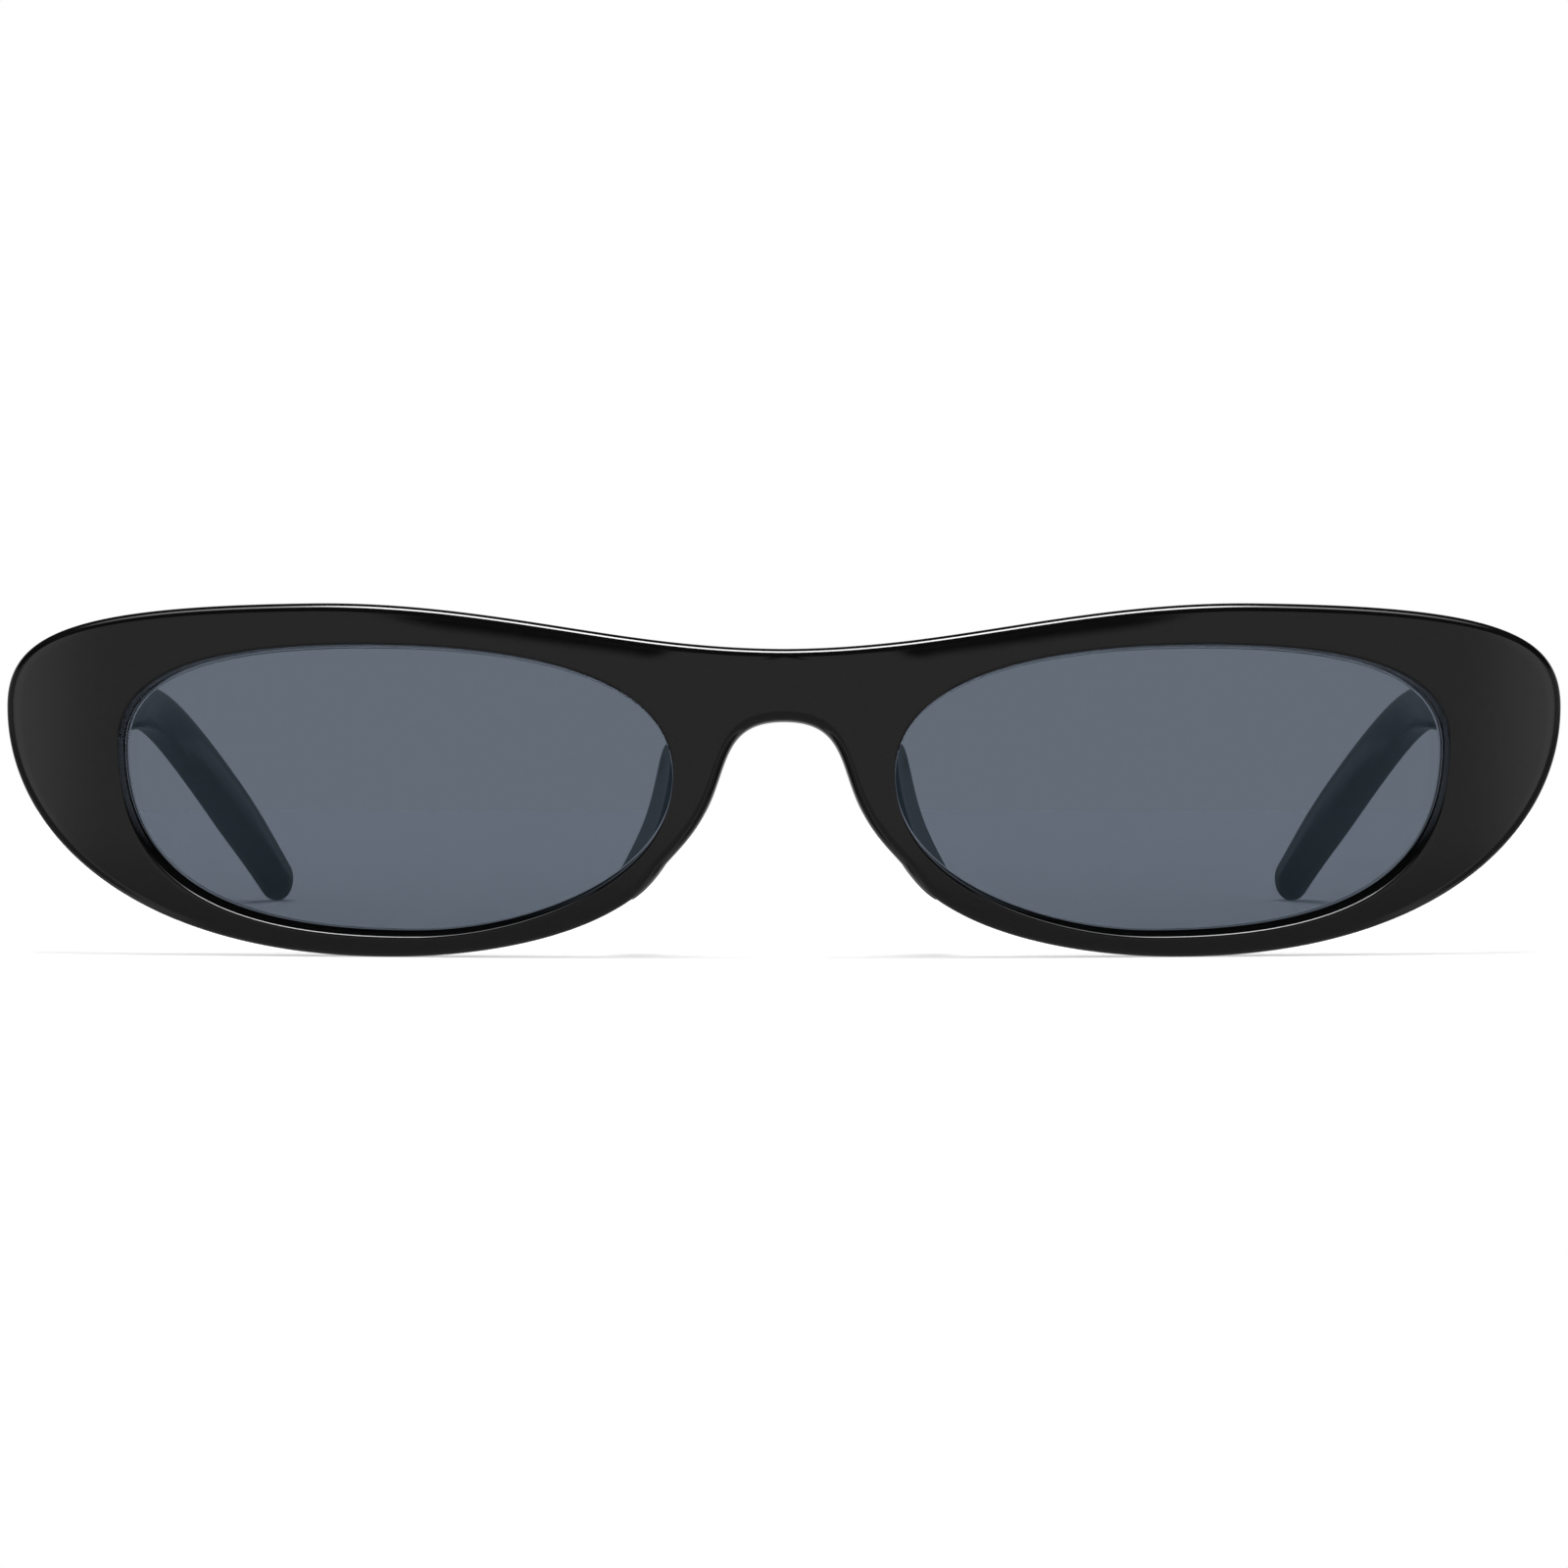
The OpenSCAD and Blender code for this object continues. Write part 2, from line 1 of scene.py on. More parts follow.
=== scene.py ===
import bpy
import numpy as np
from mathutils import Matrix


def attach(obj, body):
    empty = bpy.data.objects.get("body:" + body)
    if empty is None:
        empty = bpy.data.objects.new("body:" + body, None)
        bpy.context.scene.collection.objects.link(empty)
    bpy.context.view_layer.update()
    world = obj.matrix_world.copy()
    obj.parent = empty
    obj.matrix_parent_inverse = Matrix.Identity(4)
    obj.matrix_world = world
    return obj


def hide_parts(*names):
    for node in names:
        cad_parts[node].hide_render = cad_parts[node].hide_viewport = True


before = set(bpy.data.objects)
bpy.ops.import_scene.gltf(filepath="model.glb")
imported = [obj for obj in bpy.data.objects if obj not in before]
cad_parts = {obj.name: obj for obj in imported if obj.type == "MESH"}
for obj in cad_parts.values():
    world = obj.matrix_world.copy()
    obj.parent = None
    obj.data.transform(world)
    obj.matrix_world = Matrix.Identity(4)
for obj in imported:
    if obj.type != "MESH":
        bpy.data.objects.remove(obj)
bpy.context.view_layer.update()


# FRONT. One moulding of black cellulose acetate holds both lenses, the bridge
# and the end pieces. It is cut from sheet, bowed hot over a ball and then
# tumbled, which rounds its outer edges and gives the deep gloss.

# Lens opening and outer outline of one half, x outwards from the bridge, z up
nasal_x = 10.3
temporal_x = 62.1
end_x = 73.0
opening_low = 2.4
opening_top = 29.0
crest_z = 33.0
brow_dip = 4.5
bridge_h = 6.7
opening_w = temporal_x - nasal_x
opening_h = opening_top - opening_low

# Points where the cubics of the two outlines meet, most of them at shares of
# the opening's width and height
opening_nose = (nasal_x, opening_low + 0.54 * opening_h)
opening_crest = (nasal_x + 0.58 * opening_w, opening_top)
opening_temple = (temporal_x, opening_low + 0.66 * opening_h)
opening_base = (nasal_x + 0.46 * opening_w, opening_low)
bridge_top = (0.0, crest_z - brow_dip)
bridge_low = (0.0, crest_z - brow_dip - bridge_h)
brow_crest = (nasal_x + 0.647 * opening_w, crest_z)
end_point = (end_x, 0.721 * crest_z)
base_point = (nasal_x + 0.5 * opening_w, 0.0)
nose_low = (nasal_x + 1.14, 8.0)
nose_high = (nasal_x - 3.67, 14.9)

# Section of the front. The opening's wall widens to the face by the two
# slopes, and edges that turn by more than sharp_turn stay sharp
front_t = 4.2
bow_r = 245.0
lean = np.radians(4)
hinge_z = 22.5
edge_r = 0.9
back_r = 0.7
opening_r = 0.22
opening_back_r = 0.75
side_slope = 1
sill_slope = 14
lens_depth = 1.9
lens_t = 1.6
groove_d = 0.8
groove_mid = lens_depth + lens_t / 2
groove_half = 0.8 * groove_d
groove_flat = 0.1
wall_front = groove_mid - groove_half
sharp_turn = np.radians(32)

# Where the glasses stand: the lowest point of the leaning front, and the
# distance from its foot back to the middle of the open glasses
front_low = -0.239983
middle_y = 69.8066


def cubic(start, q1, q2, end, t):
    """Points at t of the cubic from start to end with the inner points q1 and
    q2, and the unit ways along it there. A point is the sum of the four points
    with the shares (1 - t)^3, 3 (1 - t)^2 t, 3 (1 - t) t^2 and t^3. The way is
    the same kind of sum of the three steps between them."""
    t = np.asarray(t)[:, None]
    points = (1 - t) ** 3 * start + 3 * (1 - t) ** 2 * t * q1 + 3 * (1 - t) * t**2 * q2 + t**3 * end
    along = (1 - t) ** 2 * (q1 - start) + 2 * (1 - t) * t * (q2 - q1) + t**2 * (end - q2)
    return points, along / np.linalg.norm(along, axis=1, keepdims=True)


def spline(start, start_deg, end, end_deg, pull, t):
    """Cubic in the outline's plane with a heading in degrees at each end. Its
    inner points lie along the headings, at the pulls' shares of the straight
    distance. Returns the points at t and the unit normals, which are the way
    along turned a quarter to the left."""
    start, end = np.array(start), np.array(end)
    reach = np.linalg.norm(end - start)
    a, b = np.radians(start_deg), np.radians(end_deg)
    q1 = start + np.array([np.cos(a), np.sin(a)]) * pull[0] * reach
    q2 = end - np.array([np.cos(b), np.sin(b)]) * pull[1] * reach
    points, along = cubic(start, q1, q2, end, t)
    return points, np.stack([-along[:, 1], along[:, 0]], 1)


def opening(v):
    """Edge of the lens opening at v from 0 to 4: nose side, top, temple side,
    bottom and back to the nose side, one cubic for each quarter. Returns the
    points and the unit normals that point into the rim."""
    quarters = [
        (opening_nose, 90, opening_crest, 0, (0.297, 0.459)),
        (opening_crest, 0, opening_temple, -90, (0.561, 0.293)),
        (opening_temple, -90, opening_base, -180, (0.4, 0.509)),
        (opening_base, 180, opening_nose, 90, (0.364, 0.341)),
    ]
    v = np.asarray(v) % 4
    points, normals = np.zeros((len(v), 2)), np.zeros((len(v), 2))
    for k, quarter in enumerate(quarters):
        here = np.floor(v) == k
        points[here], normals[here] = spline(*quarter, v[here] - k)
    return points, normals


def bowed(p, depth):
    """Carries outline points to the front's ball. A point goes straight back
    to the ball's surface and then towards the ball's centre by the depth."""
    share = (bow_r - depth) / bow_r
    rise = p[..., 1] - hinge_z
    away = np.sqrt(bow_r**2 - p[..., 0] ** 2 - rise**2)
    return np.stack([p[..., 0] * share, bow_r - away * share, hinge_z + rise * share], -1)


def leaned(p):
    """Turns points about the X axis so that the front leans back."""
    y = p[..., 1] * np.cos(lean) + p[..., 2] * np.sin(lean)
    z = p[..., 2] * np.cos(lean) - p[..., 1] * np.sin(lean)
    return np.stack([p[..., 0], y, z], -1)


def standing(p):
    """Leans the front's points and stands them on the table."""
    return leaned(p) - np.array([0.0, middle_y, front_low])


# Outer outline. Each stretch has its ends with their headings, its pulls, its
# number of steps and the part of the opening that it faces. The seam runs up
# the middle of the bridge, where the two halves meet, and faces the opening
# from seam_low on.
stretches = [
    (bridge_top, 0, brow_crest, 0, (0.346, 0.38), 120, (0.5, 1.14)),
    (brow_crest, 0, end_point, -90, (0.734, 0.233), 96, (1.14, 1.93)),
    (end_point, -90, base_point, -180, (0.279, 0.556), 110, (1.93, 2.97)),
    (base_point, 180, nose_low, 124.5, (0.361, 0.271), 64, (2.97, 3.66)),
    (nose_low, 124.5, nose_high, 111.2, (0.183, 0.494), 28, (3.66, 3.9)),
    (nose_high, 111.2, bridge_low, 180, (0.407, 0.534), 60, (3.9, 4.3)),
]
seam_n = 14
seam_inset = 1.2 * edge_r
seam_low, seam_reach = 0.3, 0.2
seam_z = np.linspace(bridge_low[1] + seam_inset, bridge_top[1] - seam_inset, seam_n)
seam_v = seam_low + seam_reach * np.arange(1, seam_n + 1) / (seam_n + 1)
outer = [np.array([bridge_low]), np.stack([np.zeros(seam_n), seam_z], 1)]
outer_normal = [np.array([[0.0, -1.0]]), np.tile([1.0, 0.0], (seam_n, 1))]
faced = [np.array([seam_low]), seam_v]
for start, start_deg, end, end_deg, pull, steps, (v0, v1) in stretches:
    t = np.arange(steps) / steps
    points, normals = spline(start, start_deg, end, end_deg, pull, t)
    outer.append(points)
    outer_normal.append(normals)
    faced.append(v0 + (v1 - v0) * t)
outer, outer_normal, faced = (np.concatenate(rows) for rows in (outer, outer_normal, faced))
outer_normal[seam_n + 1] = (0.0, 1.0)
inner, inner_normal = opening(faced)
on_seam = np.zeros(len(outer), bool)
on_seam[1 : seam_n + 1] = True

# Soft roll that tumbling leaves below the brow line, and its place along x:
# it grows from the bridge, fades at the crest, and comes again over the nose
roll_w, roll_deep = 2.7, 0.18
roll_start, roll_growth, roll_fade, roll_end = 6.5, 6, 16, 46
nose_roll_w, nose_roll_deep = 1.8, 0.1
brow_line = spline(*stretches[0][:5], np.linspace(0, 1, 200))[0]
end_line = spline(*stretches[1][:5], np.linspace(0, 1, 200))[0]
top_line = np.concatenate([brow_line, end_line[1:]])


def eased(k):
    """Share that starts and ends gently: three squares less two cubes, for k
    held between 0 and 1."""
    k = np.clip(k, 0, 1)
    return k * k * (3 - 2 * k)


def brow_roll(p):
    """Depth of the roll along the brow: a parabola that falls from the edge's
    rounding to nothing below it, deepest between the bridge and the crest,
    and a small bell over the nose."""
    x = p[..., 0]
    below = (np.interp(x, top_line[:, 0], top_line[:, 1]) - edge_r - p[..., 1]) / roll_w
    deep = roll_deep * eased((x - roll_start) / roll_growth) * eased((roll_end - x) / roll_fade)
    deep = deep + nose_roll_deep * np.exp(-((x / nose_roll_w) ** 2))
    return deep * np.clip(1 - below, 0, 1) ** 2


def front_section():
    """Grid of points, station by station, each once round the rim's section:
    outer front rounding, outer back rounding, back face, back edge of the
    opening, lens groove, wall, front edge of the opening and front face. The
    roundings are quarter circles. Also gives the number of outer points."""
    o, no, i, ni = outer, outer_normal, inner, inner_normal
    seam = on_seam[:, None]
    low = np.clip(-ni[:, 1], 0, 1) ** 2
    wall_slope = np.tan(np.radians(side_slope + (sill_slope - side_slope) * low))[:, None]
    columns = []

    def add(p, depth, roll=1):
        """One point of every station, deeper by the brow's roll."""
        columns.append(bowed(p, depth + roll * brow_roll(p)))

    for a in np.radians(np.linspace(0, 90, 13)):
        p = np.where(seam, o, o - no * edge_r * (1 - np.sin(a)))
        add(p, np.where(on_seam, 0, edge_r * (1 - np.cos(a))))
    for a in np.radians(np.linspace(0, 90, 9)):
        p = np.where(seam, o, o - no * back_r * (1 - np.cos(a)))
        add(p, np.where(on_seam, front_t, front_t - back_r * (1 - np.sin(a))), 0)
    outer_points = len(columns)
    back_outer = np.where(seam, o, o - no * back_r)
    back_inner = i + ni * opening_back_r
    for k in np.arange(1, 7) / 7:
        add(back_outer + (back_inner - back_outer) * k, front_t, 0)
    for a in np.radians(np.linspace(0, 90, 9)):
        depth = front_t - opening_back_r * (1 - np.cos(a))
        add(i + ni * opening_back_r * (1 - np.sin(a)), depth, 0)
    add(i, groove_mid + groove_half, 0)
    add(i + ni * groove_d, groove_mid + groove_flat, 0)
    add(i + ni * groove_d, groove_mid - groove_flat, 0)
    add(i, wall_front, 0)
    for k in (0.5, 1.0):
        depth = wall_front + (opening_r - wall_front) * k
        add(i + ni * wall_slope * (wall_front - opening_r) * k, depth, 0)
    for a in np.radians(np.linspace(15, 90, 7)):
        depth = opening_r * (1 - np.sin(a))
        add(i + ni * (wall_slope * (wall_front - depth) + opening_r * (1 - np.cos(a))), depth, 0)
    face_inner = i + ni * (wall_slope * wall_front + opening_r)
    face_outer = np.where(seam, o, o - no * edge_r)
    for k in np.arange(1, 13) / 13:
        add(face_inner + (face_outer - face_inner) * k, 0)
    return np.stack(columns, 1), outer_points


def new_piece(name, points, faces, caps=()):
    """Mesh object from points in millimetres, an array of four-sided faces and
    a few faces of any length, smooth all over but for its sharp edges."""
    mesh = bpy.data.meshes.new(name)
    faces = faces.tolist() + [list(cap) for cap in caps]
    mesh.from_pydata((points * 0.001).tolist(), [], faces)
    mesh.polygons.foreach_set("use_smooth", np.ones(len(mesh.polygons), bool))
    mesh.set_sharp_from_angle(angle=sharp_turn)
    mesh.update()
    obj = bpy.data.objects.new(name, mesh)
    bpy.context.scene.collection.objects.link(obj)
    return obj


# The other half mirrors the first and shares the outer points of the seam
grid, outer_points = front_section()
ring_n, ring_m = grid.shape[:2]
half = standing(grid).reshape(-1, 3)
i, j = np.meshgrid(np.arange(ring_n), np.arange(ring_m), indexing="ij")
i2, j2 = (i + 1) % ring_n, (j + 1) % ring_m
kept = (i > seam_n) | (j >= outer_points - 1)
faces = np.stack([i * ring_m + j, i * ring_m + j2, i2 * ring_m + j2, i2 * ring_m + j], -1)[kept]
shared = ((i <= seam_n + 1) & (j < outer_points)).ravel()
front = np.concatenate([half, half * np.array([-1.0, 1.0, 1.0])])
half_n = ring_n * ring_m
other = np.arange(half_n) + np.where(shared, 0, half_n)
faces = np.concatenate([faces, other[faces][:, ::-1]])
front_piece = new_piece("front_moulding", front, faces)


def linear(text):
    """Turns an sRGB hex colour to linear light with full cover."""
    part = np.array([int(text[k : k + 2], 16) for k in (1, 3, 5)]) / 255
    part = np.where(part <= 0.04045, part / 12.92, ((part + 0.055) / 1.055) ** 2.4)
    return (*part.tolist(), 1.0)


def empty_tree(block):
    """Turns on the nodes of a material, lamp or world and takes out what
    Blender puts there."""
    block.use_nodes = True
    block.node_tree.nodes.clear()
    return block.node_tree


def add_node(tree, kind, values, **settings):
    """Adds a node. A value that is a socket is linked to the named input, and
    any other is set on it."""
    made = tree.nodes.new(kind)
    for name, setting in settings.items():
        setattr(made, name, setting)
    for name, value in values.items():
        if isinstance(value, bpy.types.NodeSocket):
            tree.links.new(value, made.inputs[name])
        else:
            made.inputs[name].default_value = value
    return made


# Tumbled cellulose acetate: a deep, nearly clear-looking black with a slight
# orange peel about 1.5 mm across and fine hairlines that break up the gloss.
acetate = bpy.data.materials.new("acetate_tumbled_black")
tree = empty_tree(acetate)
place = add_node(tree, "ShaderNodeTexCoord", {})
peel = add_node(
    tree, "ShaderNodeTexNoise", {"Vector": place.outputs["Object"], "Scale": 650.0, "Detail": 1.0}
)
stretch = add_node(
    tree, "ShaderNodeMapping", {"Vector": place.outputs["Object"], "Scale": (1.0, 6.0, 9.0)}
)
hairline = add_node(
    tree, "ShaderNodeTexNoise", {"Vector": stretch.outputs[0], "Scale": 900.0, "Detail": 3.0}
)
dull = add_node(
    tree,
    "ShaderNodeMapRange",
    {
        "Value": hairline.outputs[0],
        "From Min": 0.3,
        "From Max": 0.7,
        "To Min": 0.05,
        "To Max": 0.085,
    },
)
bump = add_node(
    tree, "ShaderNodeBump", {"Height": peel.outputs[0], "Strength": 0.06, "Distance": 0.00004}
)
gloss = add_node(
    tree,
    "ShaderNodeBsdfPrincipled",
    {
        "Base Color": linear("#0e0e0f"),
        "Roughness": dull.outputs[0],
        "IOR": 1.49,
        "Normal": bump.outputs[0],
    },
)
add_node(tree, "ShaderNodeOutputMaterial", {"Surface": gloss.outputs[0]})


def hinge_frame(turn):
    """Axes of a hinge plate's own frame as rows, turned about the pin."""
    c, s = np.cos(turn), np.sin(turn)
    return np.array([[c, s, 0.0], [-s, c, 0.0], [0.0, 0.0, 1.0]])


# Hinge pin in the front's upright frame, and the turn of the end piece there.
# The pin lies pin_back behind the front's back face and as far inwards of the
# temple, whose outer face lies temple_inset inwards of the end piece's.
pin_back = 1.75
temple_inset = 1.6
temple_t = 3.6
pin_x = end_x - temple_inset - temple_t - pin_back
pin_bow_r = bow_r - front_t - pin_back
end_turn = np.arcsin(pin_x / pin_bow_r)
pin = np.array([pin_x, bow_r - pin_bow_r * np.cos(end_turn), hinge_z])


def cut_pockets(piece, low, high, turn):
    """Cuts the pockets for a hinge plate out of the piece. The box from low to
    high is given about the pin, in the plate's frame, and is cut on the piece's
    own side, or on both sides of a piece whose middle is in the middle."""
    corners = np.stack(np.meshgrid(*zip(low, high), indexing="ij"), -1).reshape(-1, 3)
    corners = standing(pin + corners @ hinge_frame(turn))
    sides = np.array(
        [[0, 1, 3, 2], [4, 6, 7, 5], [0, 4, 5, 1], [2, 3, 7, 6], [0, 2, 6, 4], [1, 5, 7, 3]]
    )
    middle = sum(v.co.x for v in piece.data.vertices) / len(piece.data.vertices)
    near_middle = 0.01
    for side in (1, -1):
        if side * middle < -near_middle:
            continue
        cutter = new_piece("pocket", corners * np.array([side, 1, 1]), sides[:, ::side])
        cut = piece.modifiers.new("pocket", "BOOLEAN")
        cut.operation, cut.solver, cut.object = "DIFFERENCE", "EXACT", cutter
        whole = piece.evaluated_get(bpy.context.evaluated_depsgraph_get())
        shape = bpy.data.meshes.new_from_object(whole)
        piece.modifiers.clear()
        piece.data = shape
        bpy.data.objects.remove(cutter)
    piece.data.set_sharp_from_angle(angle=sharp_turn)


# The front's plate reaches inwards and outwards from the pin and lies flush in
# its pocket, with a gap all round. The cut starts clear of the plastic.
leaf_t = 0.8
seat_gap = 0.04
pocket_mouth = 0.4
plate_in, plate_out, plate_half_h = 3.7, 1.5, 4.2
cut_pockets(
    front_piece,
    (-plate_in - seat_gap, -pin_back - leaf_t - seat_gap, -plate_half_h - seat_gap),
    (plate_out + seat_gap, -pin_back + pocket_mouth, plate_half_h + seat_gap),
    end_turn,
)
front_piece.data.materials.clear()
front_piece.data.materials.append(acetate)
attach(front_piece, "front")
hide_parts("frame_front")


# LENSES. Smoke grey, cut from cast hard resin, polished on both faces, with a
# vee edge that snaps into the groove. Both faces follow the front's ball.
lens_gap = 0.1
lens_edge_flat = 0.02
lens_steps = 288
opening_middle = np.array([(nasal_x + temporal_x) / 2, (opening_low + opening_top) / 2])
rim, rim_normal = opening(4 * np.arange(lens_steps) / lens_steps)


def lens_ring(grow, depth, share):
    """One ring of the lens: the opening's edge moved out by grow, shrunk
    towards the middle by the share, at a depth below the front face."""
    return bowed(opening_middle + (rim + rim_normal * grow - opening_middle) * share, depth)


# Both faces are rings round the middle, a little closer towards the edge, and
# four rings between them make the vee
shares = np.linspace(0, 1, 22)[1:] ** 0.8
lens_back = lens_depth + lens_t
rings = [lens_ring(-lens_gap, lens_depth, share) for share in shares]
rings += [
    lens_ring(-lens_gap, wall_front + lens_gap, 1),
    lens_ring(groove_d - lens_gap, groove_mid - lens_edge_flat, 1),
    lens_ring(groove_d - lens_gap, groove_mid + lens_edge_flat, 1),
    lens_ring(-lens_gap, groove_mid + groove_half - lens_gap, 1),
]
rings += [lens_ring(-lens_gap, lens_back, share) for share in shares[::-1]]
rings = np.stack(rings)
ring_n = len(rings)
middles = np.stack([bowed(opening_middle, lens_depth), bowed(opening_middle, lens_back)])
lens_points = standing(np.concatenate([rings.reshape(-1, 3), middles]))
i, j = np.meshgrid(np.arange(ring_n - 1) * lens_steps, np.arange(lens_steps), indexing="ij")
j2 = (j + 1) % lens_steps
lens_faces = np.stack([i + j, i + j2, i + lens_steps + j2, i + lens_steps + j], -1).reshape(-1, 4)
j, j2 = j[0], j2[0]
front_middle = ring_n * lens_steps
last_ring = front_middle - lens_steps
front_fan = np.stack([j2, j, np.full_like(j, front_middle)], 1)
back_fan = np.stack([last_ring + j, last_ring + j2, np.full_like(j, front_middle + 1)], 1)
lens_caps = np.concatenate([front_fan, back_fan])

# Tinted hard resin: an even grey-blue tint that the light passes through, and
# the sharp but faint reflections of an optical polish with an anti-glare coat.
smoke = bpy.data.materials.new("resin_smoke_tint")
tree = empty_tree(smoke)
clear = add_node(
    tree,
    "ShaderNodeBsdfPrincipled",
    {
        "Base Color": linear("#606873"),
        "Roughness": 0.0,
        "IOR": 1.5,
        "Specular IOR Level": 0.35,
        "Specular Tint": linear("#c3e9ff"),
        "Transmission Weight": 1.0,
    },
)
add_node(tree, "ShaderNodeOutputMaterial", {"Surface": clear.outputs[0]})

for side, name in ((1, "lens_left"), (-1, "lens_right")):
    points = lens_points * np.array([side, 1, 1])
    lens = new_piece(name + "_resin", points, lens_faces[:, ::side], lens_caps[:, ::side])
    lens.data.materials.append(smoke)
    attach(lens, "front")
    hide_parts(name)


# NOSE PADS. A pair of acetate wings bonded behind the nasal rims. Each spreads
# away from the nose as it goes back, with a rounded edge all round.
pad_l, pad_reach, pad_t, pad_tip_t, pad_bend = 15.0, 6.2, 2.4, 1.5, 1.7
pad_turn, pad_splay, glue_gap = np.radians(110), np.radians(21), 0.1
end_reach, end_root, end_tip = 0.3, 0.45, 0.6
pad_along = np.array([np.cos(pad_turn), np.sin(pad_turn)])
pad_across = np.array([pad_along[1], -pad_along[0]])
pad_middle = np.array([nasal_x + 0.5, 11.8])


def pad_ring(u, a):
    """One section of the pad at u from -1 to 1 along it: a wall that narrows
    from root to tip and ends in a half circle. Reach and thickness grow from
    the end shares to full at its middle, with the root of one less u to the
    power 2.6. The first unit of a goes up the wall and the second round the
    tip, and the other side mirrors it."""
    swell = np.sqrt(np.clip(1 - (abs(u) * 0.98) ** 2.6, 0, 1))
    reach = pad_reach * (end_reach + (1 - end_reach) * swell)
    root = pad_t / 2 * (end_root + (1 - end_root) * swell)
    tip = pad_tip_t / 2 * (end_tip + (1 - end_tip) * swell)
    wall = np.clip(a, 0, 1)
    cap = np.clip(a - 1, 0, 1) * np.pi / 2
    back = wall * (reach - tip) + tip * np.sin(cap)
    wide = (root + (tip - root) * wall**0.75) * np.cos(cap)
    x = np.concatenate([wide, -wide[-2::-1]])
    y = np.concatenate([back, back[-2::-1]])
    base = pad_middle + pad_along * u * pad_l / 2 + pad_across * pad_bend * u * u
    spread = pad_across * (x + y * np.tan(pad_splay))[:, None]
    return bowed(base + spread, front_t + glue_gap + y)


# The rings lie closer together towards the pad's ends
pad_us = np.sin(np.linspace(-np.pi / 2, np.pi / 2, 49))
pad_rings = np.stack([pad_ring(u, np.linspace(0, 2, 17)) for u in pad_us])
pad_points = standing(pad_rings.reshape(-1, 3))


def tube_faces(ring_n, ring_m, way):
    """Four-sided faces of a tube of rings, and its two end caps, all of them
    turned over where way is -1."""
    i, j = np.meshgrid(np.arange(ring_n - 1) * ring_m, np.arange(ring_m), indexing="ij")
    j2 = (j + 1) % ring_m
    sides = np.stack([i + j, i + j2, i + ring_m + j2, i + ring_m + j], -1).reshape(-1, 4)
    last = (ring_n - 1) * ring_m
    caps = [range(ring_m - 1, -1, -1), range(last, last + ring_m)]
    return sides[:, ::way], [cap[::way] for cap in caps]


for side, name in ((1, "nose_pad_left"), (-1, "nose_pad_right")):
    points = pad_points * np.array([side, 1, 1])
    pad = new_piece(name + "_acetate", points, *tube_faces(*pad_rings.shape[:2], -side))
    pad.data.materials.append(acetate)
    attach(pad, "front")
    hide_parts(name)


# HINGES. Five-knuckle hinges stamped and milled from nickel silver, let into
# the end pieces and temples and held by small turned steel screws.
nickel = bpy.data.materials.new("nickel_silver_barrelled")
tree = empty_tree(nickel)
place = add_node(tree, "ShaderNodeTexCoord", {})
grain = add_node(
    tree, "ShaderNodeTexNoise", {"Vector": place.outputs["Object"], "Scale": 5000.0, "Detail": 2.0}
)
dull = add_node(
    tree,
    "ShaderNodeMapRange",
    {
        "Value": grain.outputs[0],
        "From Min": 0.3,
        "From Max": 0.7,
        "To Min": 0.24,
        "To Max": 0.36,
    },
)
bump = add_node(
    tree, "ShaderNodeBump", {"Height": grain.outputs[0], "Strength": 0.15, "Distance": 0.00002}
)
metal = add_node(
    tree,
    "ShaderNodeBsdfPrincipled",
    {
        "Base Color": linear("#d3d1cb"),
        "Metallic": 1.0,
        "Roughness": dull.outputs[0],
        "Normal": bump.outputs[0],
    },
)
add_node(tree, "ShaderNodeOutputMaterial", {"Surface": metal.outputs[0]})

# Turned stainless steel: fine tool marks about 0.1 mm apart, drawn as a noise
# in the roughness because the screws are under 2 mm across.
steel = bpy.data.materials.new("stainless_steel_turned")
tree = empty_tree(steel)
place = add_node(tree, "ShaderNodeTexCoord", {})
marks = add_node(
    tree, "ShaderNodeTexNoise", {"Vector": place.outputs["Object"], "Scale": 9000.0, "Detail": 1.0}
)
dull = add_node(
    tree,
    "ShaderNodeMapRange",
    {
        "Value": marks.outputs[0],
        "From Min": 0.3,
        "From Max": 0.7,
        "To Min": 0.16,
        "To Max": 0.28,
    },
)
metal = add_node(
    tree,
    "ShaderNodeBsdfPrincipled",
    {"Base Color": linear("#d8d8da"), "Metallic": 1.0, "Roughness": dull.outputs[0]},
)
add_node(tree, "ShaderNodeOutputMaterial", {"Surface": metal.outputs[0]})

for name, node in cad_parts.items():
    if "screw" in name or "leaf" in name:
        node.data.materials.clear()
        node.data.materials.append(steel if "screw" in name else nickel)


# TEMPLES. Slim acetate side arms with a drawn wire core, shot through the
# softened plastic. The straight part narrows from the hinge to the bend, and
# the ear end curves down and in, swells, and is filed round to its tip.
straight_l, ear_l, ear_in, toe = 74.0, 45.0, 11.8, np.radians(2.2)
temple_h, bend_t, bend_h, tip_t, tip_h = 7.0, 3.3, 4.4, 3.4, 5.2
neck_share = 0.5
bend_pull, tip_pull, tip_slope = 0.3, 0.65, np.array([-0.3, 0.77, -0.555])
tip_round, tip_drop, tip_drop_run = 5.0, 0.5, 6.0
squareness, filed_squareness, filed_run = 0.62, 0.95, 0.18
butt_gap, butt_round = 0.12, 0.3
straight_n, ear_n, end_n, butt_n, sides_n = 40, 60, 18, 6, 48
temple_side = np.array([np.cos(toe), np.sin(toe), 0.0])
temple_run = np.array([-np.sin(toe), np.cos(toe), 0.0])
pin_stands = standing(pin)
temple_root = pin_stands + temple_side * (pin_back + temple_t / 2)
bend_point = temple_root + temple_run * straight_l - temple_side * (temple_t - bend_t) / 2


